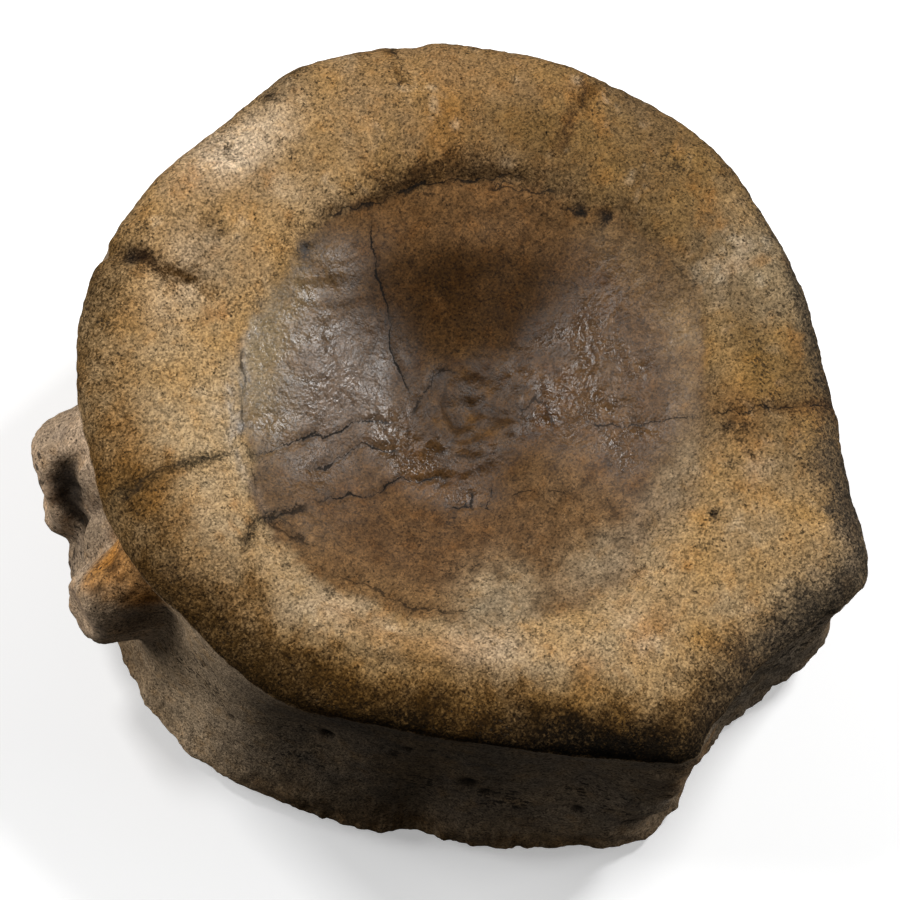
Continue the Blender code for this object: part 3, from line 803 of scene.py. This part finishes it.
    # partly painted shade: the far side of the bowl, round 230°, is painted very dark brown; part of it is the bowl's
    # own dark colour and part is shade on the far wall, which tilts away from the lamps
    dark = bump(deg, 230, 38) * ease((r - 3) / 8) * ease((42 - r) / 15)
    b = mixed(b, tone(50, 32, 12), dark * (0.80 + 0.50 * n_small + 0.45 * n_mid))
    b = mixed(b, tone(36, 22, 7), oval(x, y, (-22, -9), 12, 16, 20) * (0.45 + 0.3 * n_small))
    b = mixed(b, tone(36, 22, 7), oval(x, y, (-6, -28), 13, 12, 0) * (0.32 + 0.3 * n_small))
    b = mixed(b, tone(36, 23, 9), oval(x, y, (1, -13), 9, 11, 0) * (0.5 + 0.3 * n_small))
    b = mixed(b, tone(52, 35, 17), oval(x + 3 * n_mid, y + 3 * n_small, (-20, -5), 13, 8, 10) * (0.55 + 0.3 * n_small))
    b = mixed(b, tone(108, 80, 53), bump(deg, 222, 30) * ease((r - 30) / 9) * (0.75 + 0.4 * n_mid))
    b = mixed(b, BOWL_RED, np.exp(-((r / 15.0) ** 4)) * (0.9 + 0.4 * n_small))
    b = mixed(b, tone(98, 70, 40), np.exp(-((r / 14.0) ** 4)) * ease(0.1 + n_small) * 0.35)
    b = mixed(b, tone(44, 30, 18), np.exp(-((r / 15.0) ** 4)) * ease(-0.1 - n_small + 0.5 * n_fine) * 0.7)
    patch = oval(x, y, (29, 33), 10, 8.5, 20) + 0.9 * oval(x, y, (8, 41), 9, 5.5, -10) + 0.8 * oval(x, y, (-14, 42), 11, 5, 20)
    b = mixed(b, BOWL_PATCH, patch * (0.9 + 0.35 * n_small))
    b = mixed(b, tone(124, 104, 80), bump(deg, 96, 26) * ease((r - 36) / 7) * 0.7)
    ring = np.sin(2 * np.pi * (r + 2.0 * n_mid + 0.8 * n_small) / 4.0) * np.exp(-((r / 16.0) ** 4))
    b = mixed(b, tone(50, 34, 20), 0.45 * ease(ring))
    # the blue stays in round 312°, which keeps the grey of the painted sheen on the left wall
    warm = 1 - np.maximum(bump(deg, 312, 34), 0.7 * bump(deg, 150, 40)) * ease((r - 10) / 8)
    warm = warm * (1 - 0.8 * lower) * (1 - np.clip(patch, 0, 1)) * (1 - bump(deg, 90, 24) * ease((r - 34) / 7))
    b = b * np.stack([np.ones_like(r), 1 - 0.05 * warm, 1 - 0.22 * warm], -1)
    b = b * (1 + 0.26 * n_fine + 0.16 * n_small)[:, None]
    c = c * (1 - bowl)[:, None] + b * bowl[:, None]
    # a dark line along the bowl's edge, strongest round 232°, where it is partly painted shadow under the overhanging
    # far edge
    lip_line = np.exp(-(((r - edge - 0.4 + ragged * 0.9) / 1.0) ** 2)) * face
    stain_and_shade.add(tone(60, 44, 26), lip_line * (0.25 + 0.45 * bump(deg, 232, 40)) * (0.6 + n_small))
    c = mixed(c, tone(160, 152, 142), lip_line * bump(deg, 318, 18) * (0.5 + 0.6 * n_small))

    # ---- the wall, its broken dorsal side, the lip and the facets
    wall = ((zone == WALL) | (zone == BASE)).astype(float)
    wall = np.where(zone == ROLL, ease((LENGTH - 6.2 - z + 0.35 * n_small) / 0.9), wall)
    w = np.tile(WALL_TONE, (len(p), 1))
    w = mixed(w, WALL_GREY, 0.5 + 0.8 * n_mid)
    w = mixed(w, tone(150, 124, 92), 0.6 * ease(0.8 * n_big + 0.4 * n_small))
    lip = ease((20 - z + 4 * n_mid + 5 * n_big) / 17)
    w = mixed(w, LIP_TONE, lip * 0.75)
    arc = deg / 360 * 480
    strand = noise(np.stack([arc / 1.1, z / 7.0, np.zeros_like(z)], -1), 60)
    w = mixed(w, UMBER, lip * ease(0.15 + 1.1 * strand + 0.5 * n_mid) * 0.55)
    w = mixed(w, PALE, lip * ease(-0.2 - 1.2 * strand) * 0.25)
    w = mixed(w, tone(58, 50, 42), ease(0.9 * fbm(p * (1, 1, 2.4), 6.0, 61) - 0.05) * 0.55 * ease((55 - z) / 12))
    under_rim = ease((z - 50) / 7) * bump(deg, 338, 40)
    w = mixed(w, tone(176, 150, 122), under_rim * 0.75)
    w = mixed(w, tone(206, 178, 148), ease((z - 48) / 6) * bump(deg, 318, 15) * 0.85)
    w = mixed(w, tone(194, 168, 136), bump(deg, 355, 12) * (0.75 + 0.4 * n_mid) * ease((66 - z) / 6))
    broken = np.maximum(bump(deg, 92, 22), 0.5 * bump(deg, 74, 8))
    # painted light and shade: the wall is darkened round 30°, the side facing the camera that the lamps miss, lightened
    # round 352°, where light rakes along the left end of the lip, and lightened round 60°
    w = w * (1 + 0.62 * bump(deg, 60, 12) - 0.30 * bump(deg, 30, 20) + 0.16 * bump(deg, 352, 9))[:, None]
    w = mixed(w, BROKEN_TONE, broken * (0.8 + 0.4 * n_mid))
    w = mixed(w, tone(122, 92, 58), bump(deg, 77, 6) * ease((62 - z) / 6) * ease((z - 36) / 10) * 0.8)
    w = mixed(w, tone(40, 34, 28), broken * ease(0.7 * n_small + 0.5 * n_mid - 0.1) * 0.7)
    # painted shade, gathered here and laid on below in near black
    painted_shade = np.zeros(len(p))
    for name, middle, height, wide, high, out, _ in RIB_BOSSES:
        rho = boss_reach(deg, z, middle, height, wide, high)
        fresh = 1.0 if name.endswith("left") else 0.62
        w = mixed(w, BOSS_TONE, np.exp(-((rho / 1.08) ** 3.2)) * (0.74 + 0.35 * n_mid + 0.30 * n_small) * fresh)
        w = mixed(w, tone(120, 104, 88), np.exp(-((rho / 1.2) ** 6)) * ease(0.3 + 0.9 * n_small + 0.4 * n_mid) * ease((rho - 0.4) / 0.4) * 0.7)
        if name.startswith("dia"):
            above = np.exp(-((rho / 1.3) ** 6)) * ease((z - height - high * 0.46 + 1.6 * n_mid) / 5)
            w = mixed(w, tone(190, 132, 60), above * (0.80 + 0.5 * n_mid) * fresh)
            w = mixed(w, tone(50, 34, 18), above * ease(0.22 + 1.3 * n_small + 0.8 * n_fine) * 0.85)
            # painted shade on the lower flank of each diapophysis
            painted_shade_below = ease((apart(deg, middle) - 4.2 + 0.5 * n_mid) / 2.0) * np.exp(-((rho / 1.03) ** 8))
            painted_shade = np.maximum(painted_shade, painted_shade_below * ease((z - height + 4) / 8))
        w = mixed(w, tone(130, 90, 66), np.exp(-((rho / 0.5) ** 4)) * ease(0.2 + n_mid) * 0.4)
    # painted shade in the hollow on top of the left parapophysis
    painted_shade = np.maximum(painted_shade, ease(1.6 * hollow_of(p, deg, z)))
    w = mixed(w, tone(26, 20, 15), painted_shade * 0.93)
    for sd, sz, size, _, dark_hole in FORAMINA:
        off = (apart(deg, sd) * np.pi / 180 * 76) ** 2 + (z - sz) ** 2
        w = mixed(w, tone(18, 17, 16), dark_hole * np.exp(-((off / (size * 1.15) ** 2) ** 1.5)))
    c = c * (1 - wall)[:, None] + w * wall[:, None]
    under = (zone == UNDER).astype(float)
    u = mixed(np.tile(tone(150, 122, 88), (len(p), 1)), tone(104, 80, 52), 0.4 + 0.8 * n_mid)
    u = mixed(u, BOWL_BROWN, ease((50 - r + 3 * n_mid) / 8) * 0.8)
    c = c * (1 - under)[:, None] + u * under[:, None]

    for sx, sy, size, _, dark_spot in SPOTS:
        reach = ((x - sx + 0.6 * n_small) ** 2 + (y - sy + 0.6 * n_fine) ** 2) / (size * 1.15) ** 2
        stain_and_shade.add(tone(34, 26, 18), face * dark_spot * np.exp(-(reach**1.3)))
    c = c * (1 - 0.5 * np.clip(groove / 0.6, 0, 1))[:, None]
    c = c * (1 + 0.10 * n_small)[:, None]

    # ---- gloss and pores
    gloss = bowl * (0.78 + 0.20 * n_mid) * (1 - 0.8 * bump(deg, 232, 30) * ease((r - 8) / 8))
    gloss = gloss * (1 - 0.85 * bump(deg, 236, 33) * ease((r - 6) / 8) * ease((38 - r) / 8))
    gloss = gloss * (1 - 0.70 * bump(deg, 199, 15) * ease((r - 9) / 8))
    gloss = gloss * (1 - 0.40 * np.exp(-((r / 13.0) ** 4))) * (1 - 0.75 * bump(deg, 78, 28) * ease((r - 10) / 8))
    gloss = gloss * (1 - 0.25 * bump(deg, 150, 46) * ease((r - 30) / 9))
    gloss = gloss * (1 - 0.75 * np.clip(patch, 0, 1)) * (1 - 0.7 * lower * ease((r - 17) / 8))
    gloss = gloss * (1 - 0.5 * ease((r - edge + 8) / 7) * (1 - bump(deg, 310, 40) - 0.8 * bump(deg, 142, 22)))
    for _, middle, height, wide, high, _, _ in RIB_BOSSES:
        gloss = np.maximum(gloss, 0.6 * wall * np.exp(-((boss_reach(deg, z, middle, height, wide, high) / 0.9) ** 6)) * ease(0.5 + n_mid))
    pores = face * (1 - bowl) * (0.45 + 0.45 * n_big + 0.35 * n_mid)
    pores = np.clip(pores + 0.25 * outer(14, 10) + 0.5 * side * ease((r - 50) / 8), 0, 1) * (1 - 0.85 * bowl)
    pores = pores * (1 - 0.6 * streak) * (0.25 + 0.75 * ease(0.5 + 1.1 * fbm(p, 7, 64, 2)))
    for _, middle, height, wide, high, _, _ in RIB_BOSSES:
        rho = boss_reach(deg, z, middle, height, wide, high)
        pores = np.maximum(pores, wall * np.exp(-((rho / 1.2) ** 6)) * ease((rho - 0.35) / 0.3) * 0.6)
    flecks = wall * (0.40 + 0.60 * ease((54 - z) / 12) * ease((z - 14) / 10)) * ease(0.25 + 1.5 * fbm(p, 12, 65))
    stain_and_shade_amount = stain_and_shade.strength * (1 - wall) * (1 - under)
    return np.clip(c, 0.002, 1), stain_and_shade.colour, stain_and_shade_amount, np.clip(gloss, 0, 1), np.clip(pores, 0, 1), np.clip(flecks, 0, 1)


# ================================================================ the bone's mesh
def add_attribute(mesh, name, values):
    layer = mesh.color_attributes.new(name, "FLOAT_COLOR", "POINT")
    full = np.ones((len(mesh.vertices), 4), np.float32)
    full[:, : values.shape[1]] = values
    layer.data.foreach_set("color", full.ravel())


def make_bone():
    skin = build_skin()
    d, p, deg, r, z, zone, signed, strength, groove = relief(skin)
    colour, stain_and_shade, stain_and_shade_amount, gloss, pores, flecks = paint(p, deg, r, z, zone, groove)
    moved = p + vertex_normals(p, skin.faces) * d[:, None]
    moved[:, 2] = np.maximum(moved[:, 2], 0.0)
    moved[:, 0] -= MIDDLE[0]
    moved[:, 1] -= MIDDLE[1]
    mesh = bpy.data.meshes.new("bone")
    mesh.from_pydata((moved * 0.001).tolist(), [], skin.faces)
    layer = mesh.uv_layers.new(name="OFBake")
    layer.data.foreach_set("uv", np.concatenate(skin.maps).astype(np.float32).ravel())
    add_attribute(mesh, "tone", colour)
    add_attribute(mesh, "stain_and_shade", np.concatenate([stain_and_shade, stain_and_shade_amount[:, None]], 1))
    add_attribute(mesh, "finish", np.stack([gloss, pores, flecks], -1))
    crack = np.stack([signed / 9.0 * 0.5 + 0.5, strength, (zone <= ROLL).astype(float)], -1)
    add_attribute(mesh, "crack", crack)
    mesh.shade_smooth()
    mesh.update()
    bone = bpy.data.objects.new("bone", mesh)
    bpy.context.scene.collection.objects.link(bone)
    return bone


# ================================================================ the bone's material
def bone_material():
    material = bpy.data.materials.new("fossil_bone")
    material.use_nodes = True
    tree = material.node_tree
    nodes, links = tree.nodes, tree.links
    shader = nodes["Principled BSDF"]

    def join(a, socket):
        if isinstance(a, (int, float)):
            socket.default_value = a
        elif isinstance(a, tuple):
            socket.default_value = (*a, 1.0) if len(a) == 3 and socket.type == "RGBA" else a
        else:
            links.new(a, socket)

    def sums(kind, a, b=0.0, clamp=False):
        node = nodes.new("ShaderNodeMath")
        node.operation, node.use_clamp = kind, clamp
        join(a, node.inputs[0])
        join(b, node.inputs[1])
        return node.outputs[0]

    def span(value, low, high, to_low=0.0, to_high=1.0, smooth=True):
        node = nodes.new("ShaderNodeMapRange")
        node.interpolation_type = "SMOOTHSTEP" if smooth else "LINEAR"
        for v, i in ((value, 0), (low, 1), (high, 2), (to_low, 3), (to_high, 4)):
            join(v, node.inputs[i])
        return node.outputs[0]

    def mix(amount, a, b, kind="MIX"):
        node = nodes.new("ShaderNodeMix")
        node.data_type, node.blend_type = "RGBA", kind
        join(amount, node.inputs["Factor"])
        join(a, node.inputs[6])
        join(b, node.inputs[7])
        return node.outputs[2]

    def stored(name):
        node = nodes.new("ShaderNodeAttribute")
        node.attribute_name = name
        apart_node = nodes.new("ShaderNodeSeparateColor")
        links.new(node.outputs["Color"], apart_node.inputs[0])
        return node.outputs["Color"], apart_node.outputs, node.outputs["Alpha"]

    place = nodes.new("ShaderNodeTexCoord").outputs["Object"]

    def stretched(scale, turn=0.0):
        node = nodes.new("ShaderNodeMapping")
        links.new(place, node.inputs["Vector"])
        node.inputs["Scale"].default_value = scale
        node.inputs["Rotation"].default_value = (0, 0, turn)
        return node.outputs[0]

    def cloud(size, detail=3.0, rough=0.6, vector=None, warp=0.0):
        node = nodes.new("ShaderNodeTexNoise")
        links.new(vector or place, node.inputs["Vector"])
        node.inputs["Scale"].default_value = 1000.0 / size
        node.inputs["Detail"].default_value = detail
        node.inputs["Roughness"].default_value = rough
        node.inputs["Distortion"].default_value = warp
        return node.outputs["Fac"] if "Fac" in node.outputs else node.outputs[0]

    def cells(size, vector=None):
        node = nodes.new("ShaderNodeTexVoronoi")
        links.new(vector or place, node.inputs["Vector"])
        node.inputs["Scale"].default_value = 1000.0 / size
        node.inputs["Randomness"].default_value = 1.0
        pick = nodes.new("ShaderNodeSeparateColor")
        links.new(node.outputs["Color"], pick.inputs[0])
        return node.outputs["Distance"], pick.outputs[0]

    tone_colour = stored("tone")[0]
    stain_and_shade_colour, _, stain_and_shade_strength = stored("stain_and_shade")
    finish, crack = stored("finish")[1], stored("crack")[1]
    gloss, pores, flecks = finish[0], finish[1], finish[2]

    # fine grain: single grains, each lighter or darker than the next
    grain = cloud(0.52, 2.0, 0.7)
    _, pick_a = cells(0.36)
    _, pick_b = cells(0.80)
    mean = sums("ADD", sums("MULTIPLY", pick_a, 0.42), sums("MULTIPLY", pick_b, 0.20))
    speck = sums("ADD", mean, sums("MULTIPLY", span(grain, 0.3, 0.7, 0.0, 1.0, False), 0.38))
    matt = sums("SUBTRACT", 1.0, gloss)
    weight = sums("ADD", sums("MULTIPLY", matt, 0.80), 1.25)
    shade = sums("ADD", sums("MULTIPLY", sums("SUBTRACT", speck, 0.5), weight), 1.0)
    grey = nodes.new("ShaderNodeCombineColor")
    for i in range(3):
        links.new(shade, grey.inputs[i])
    # yellower and greyer patches a few millimetres wide
    patch = cloud(4.5, 4.0, 0.65)
    colour = mix(sums("MULTIPLY", span(patch, 0.50, 0.68), 0.45), tone_colour, mix(1.0, tone_colour, (1.04, 0.87, 0.63), "MULTIPLY"))
    colour = mix(sums("MULTIPLY", span(patch, 0.48, 0.34), 0.40), colour, mix(1.0, colour, (0.84, 0.87, 0.92), "MULTIPLY"))
    # stains and painted shade come on grain by grain
    dither = sums("MULTIPLY", sums("SUBTRACT", speck, 0.5), -0.54)
    dither = sums("ADD", dither, sums("MULTIPLY", sums("SUBTRACT", patch, 0.5), 0.8))
    taken = sums("ADD", stain_and_shade_strength, sums("MULTIPLY", dither, span(stain_and_shade_strength, 0.0, 0.25)))
    colour = mix(span(taken, -0.10, 1.05), colour, stain_and_shade_colour)
    colour = mix(1.0, colour, grey.outputs[0], "MULTIPLY")

    # pores: dark dashes and holes, drawn out a little
    holes = 0.0
    for size, share, reach in ((0.66, 0.55, 0.95), (1.05, 0.50, 0.80), (1.9, 0.42, 0.62)):
        away, pick = cells(size, stretched((1.0, 0.72, 1.0), 0.6 + size))
        radius = sums("MULTIPLY", sums("SUBTRACT", sums("MULTIPLY", pores, share), pick), reach)
        ragged = sums("ADD", sums("SUBTRACT", away, radius), sums("MULTIPLY", sums("SUBTRACT", grain, 0.5), 0.35))
        holes = sums("MAXIMUM", holes, span(ragged, 0.06, -0.06), True)
    colour = mix(sums("MULTIPLY", holes, 0.72), colour, (0.024, 0.017, 0.010))

    # flecks on the wall: short and level, black
    away, pick = cells(1.2, stretched((0.66, 0.66, 1.35)))
    radius = sums("MULTIPLY", sums("SUBTRACT", flecks, pick), 0.62)
    ragged = sums("ADD", sums("SUBTRACT", away, radius), sums("MULTIPLY", sums("SUBTRACT", grain, 0.5), 0.9))
    fleck = span(ragged, 0.07, -0.07)
    colour = mix(sums("MULTIPLY", fleck, 0.75), colour, (0.014, 0.012, 0.010))

    # cracks: a thin dark line, now wider and now narrower, where the stored distance is nought
    signed = sums("MULTIPLY", sums("SUBTRACT", crack[0], 0.5), 18.0)
    off = sums("ABSOLUTE", sums("ADD", signed, sums("MULTIPLY", sums("SUBTRACT", grain, 0.5), 4.0)))
    line = sums("MULTIPLY", span(off, 1.25, 0.55), sums("MULTIPLY", crack[1], crack[2]), True)
    colour = mix(sums("MULTIPLY", line, 0.93), colour, (0.008, 0.007, 0.006))

    links.new(colour, shader.inputs["Base Color"])
    # roughness: lacquered in the bowl and broken up by the grain, matt elsewhere
    rough = span(gloss, 0.0, 0.80, 0.96, 0.21, False)
    rough = sums("ADD", rough, sums("MULTIPLY", sums("SUBTRACT", patch, 0.5), 0.36))
    rough = sums("ADD", rough, sums("MULTIPLY", sums("MAXIMUM", holes, line), 0.6), True)
    links.new(rough, shader.inputs["Roughness"])
    links.new(span(gloss, 0.05, 0.70, 0.10, 0.34), shader.inputs["Specular IOR Level"])

    # bump: grain, pores, cracks, and small dents that make the lacquer glitter
    fine = nodes.new("ShaderNodeBump")
    fine.inputs["Strength"].default_value = 1.0
    fine.inputs["Distance"].default_value = 0.001
    dents = sums("MULTIPLY", cloud(1.15, 1.5, 0.5), sums("ADD", sums("MULTIPLY", gloss, 0.11), 0.14))
    height = sums("ADD", sums("MULTIPLY", grain, sums("ADD", sums("MULTIPLY", matt, 0.22), 0.05)), dents)
    height = sums("SUBTRACT", height, sums("MULTIPLY", holes, 0.12))
    links.new(height, fine.inputs["Height"])
    links.new(fine.outputs[0], shader.inputs["Normal"])
    return material


bone = make_bone()
bone.data.materials.append(bone_material())
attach(bone, "root")
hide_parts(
    "centrum",
    "parapophysis_left",
    "diapophysis_left",
    "parapophysis_right",
    "diapophysis_right",
    "neural_facet_left",
    "neural_facet_right",
)

# ================================================================ floor, camera and light
scene = bpy.context.scene


def camera_axes(azimuth, elevation, roll):
    """Columns: the picture's right, its up, and back to the camera."""
    az, el = math.radians(azimuth), math.radians(elevation)
    back = Vector((math.sin(az) * math.cos(el), -math.cos(az) * math.cos(el), math.sin(el)))
    right = Vector((0, 0, 1)).cross(back).normalized()
    axes = Matrix((right, back.cross(right), back)).transposed()
    return axes @ Matrix.Rotation(math.radians(roll), 3, "Z")


AIM = Vector((0.01095 - MIDDLE[0] * 0.001, 0.00401 - MIDDLE[1] * 0.001, 0.0635))
AWAY = 0.7037
axes = camera_axes(120, 69, 13)
lens = bpy.data.cameras.new("camera")
lens.lens, lens.sensor_width = 144.0, 36.0
lens.clip_start, lens.clip_end = 0.05, 20.0
camera = bpy.data.objects.new("camera", lens)
scene.collection.objects.link(camera)
camera.matrix_world = Matrix.Translation(AIM + axes.col[2] * AWAY) @ axes.to_4x4()
scene.camera = camera

floor_mesh = bpy.data.meshes.new("floor")
floor_mesh.from_pydata([(-3, -3, 0), (3, -3, 0), (3, 3, 0), (-3, 3, 0)], [], [(0, 1, 2, 3)])
floor = bpy.data.objects.new("floor", floor_mesh)
floor.location.z = -0.0002
scene.collection.objects.link(floor)
pale = bpy.data.materials.new("pale_floor")
pale.use_nodes = True
paper = pale.node_tree.nodes["Principled BSDF"]
paper.inputs["Base Color"].default_value = (0.92, 0.92, 0.92, 1)
paper.inputs["Roughness"].default_value = 0.9
paper.inputs["Specular IOR Level"].default_value = 0.1
paper.inputs["Emission Color"].default_value = (1, 1, 1, 1)
paper.inputs["Emission Strength"].default_value = 0.34
floor_mesh.materials.append(pale)
floor.visible_diffuse = False
floor.visible_glossy = False

right, up, back = (Vector(axes.col[i]) for i in range(3))
level_right = Vector((right.x, right.y, 0)).normalized()
level_up = Vector((up.x, up.y, 0)).normalized()


def soft_box(name, aside, behind, above, away, size, power, colour=(1, 1, 1)):
    """A square light, placed by its way from the bone: to the picture's right, its top, and up."""
    way = (level_right * aside + level_up * behind + Vector((0, 0, above))).normalized()
    light = bpy.data.lights.new(name, "AREA")
    light.shape, light.size, light.size_y = "RECTANGLE", size[0], size[1]
    light.energy, light.color = power, colour
    lamp = bpy.data.objects.new(name, light)
    lamp.location = Vector((0, 0, 0.05)) + way * away
    lamp.rotation_mode = "QUATERNION"
    lamp.rotation_quaternion = way.to_track_quat("Z", "Y")
    scene.collection.objects.link(lamp)


soft_box("left_low", -1.0, 0.22, 0.50, 1.3, (0.6, 0.6), 8.2)
soft_box("left_high", -0.38, 0.38, 0.86, 1.3, (0.22, 0.22), 6.0)
soft_box("right_high", 0.46, 0.38, 0.80, 1.3, (0.30, 0.30), 11.2)
soft_box("right_low", 1.0, 0.02, 0.45, 1.3, (0.6, 0.7), 4.8)

world = bpy.data.worlds.new("studio")
world.use_nodes = True
world.node_tree.nodes["Background"].inputs["Color"].default_value = (1, 1, 1, 1)
world.node_tree.nodes["Background"].inputs["Strength"].default_value = 0.06
scene.world = world
scene.view_settings.view_transform = "Standard"
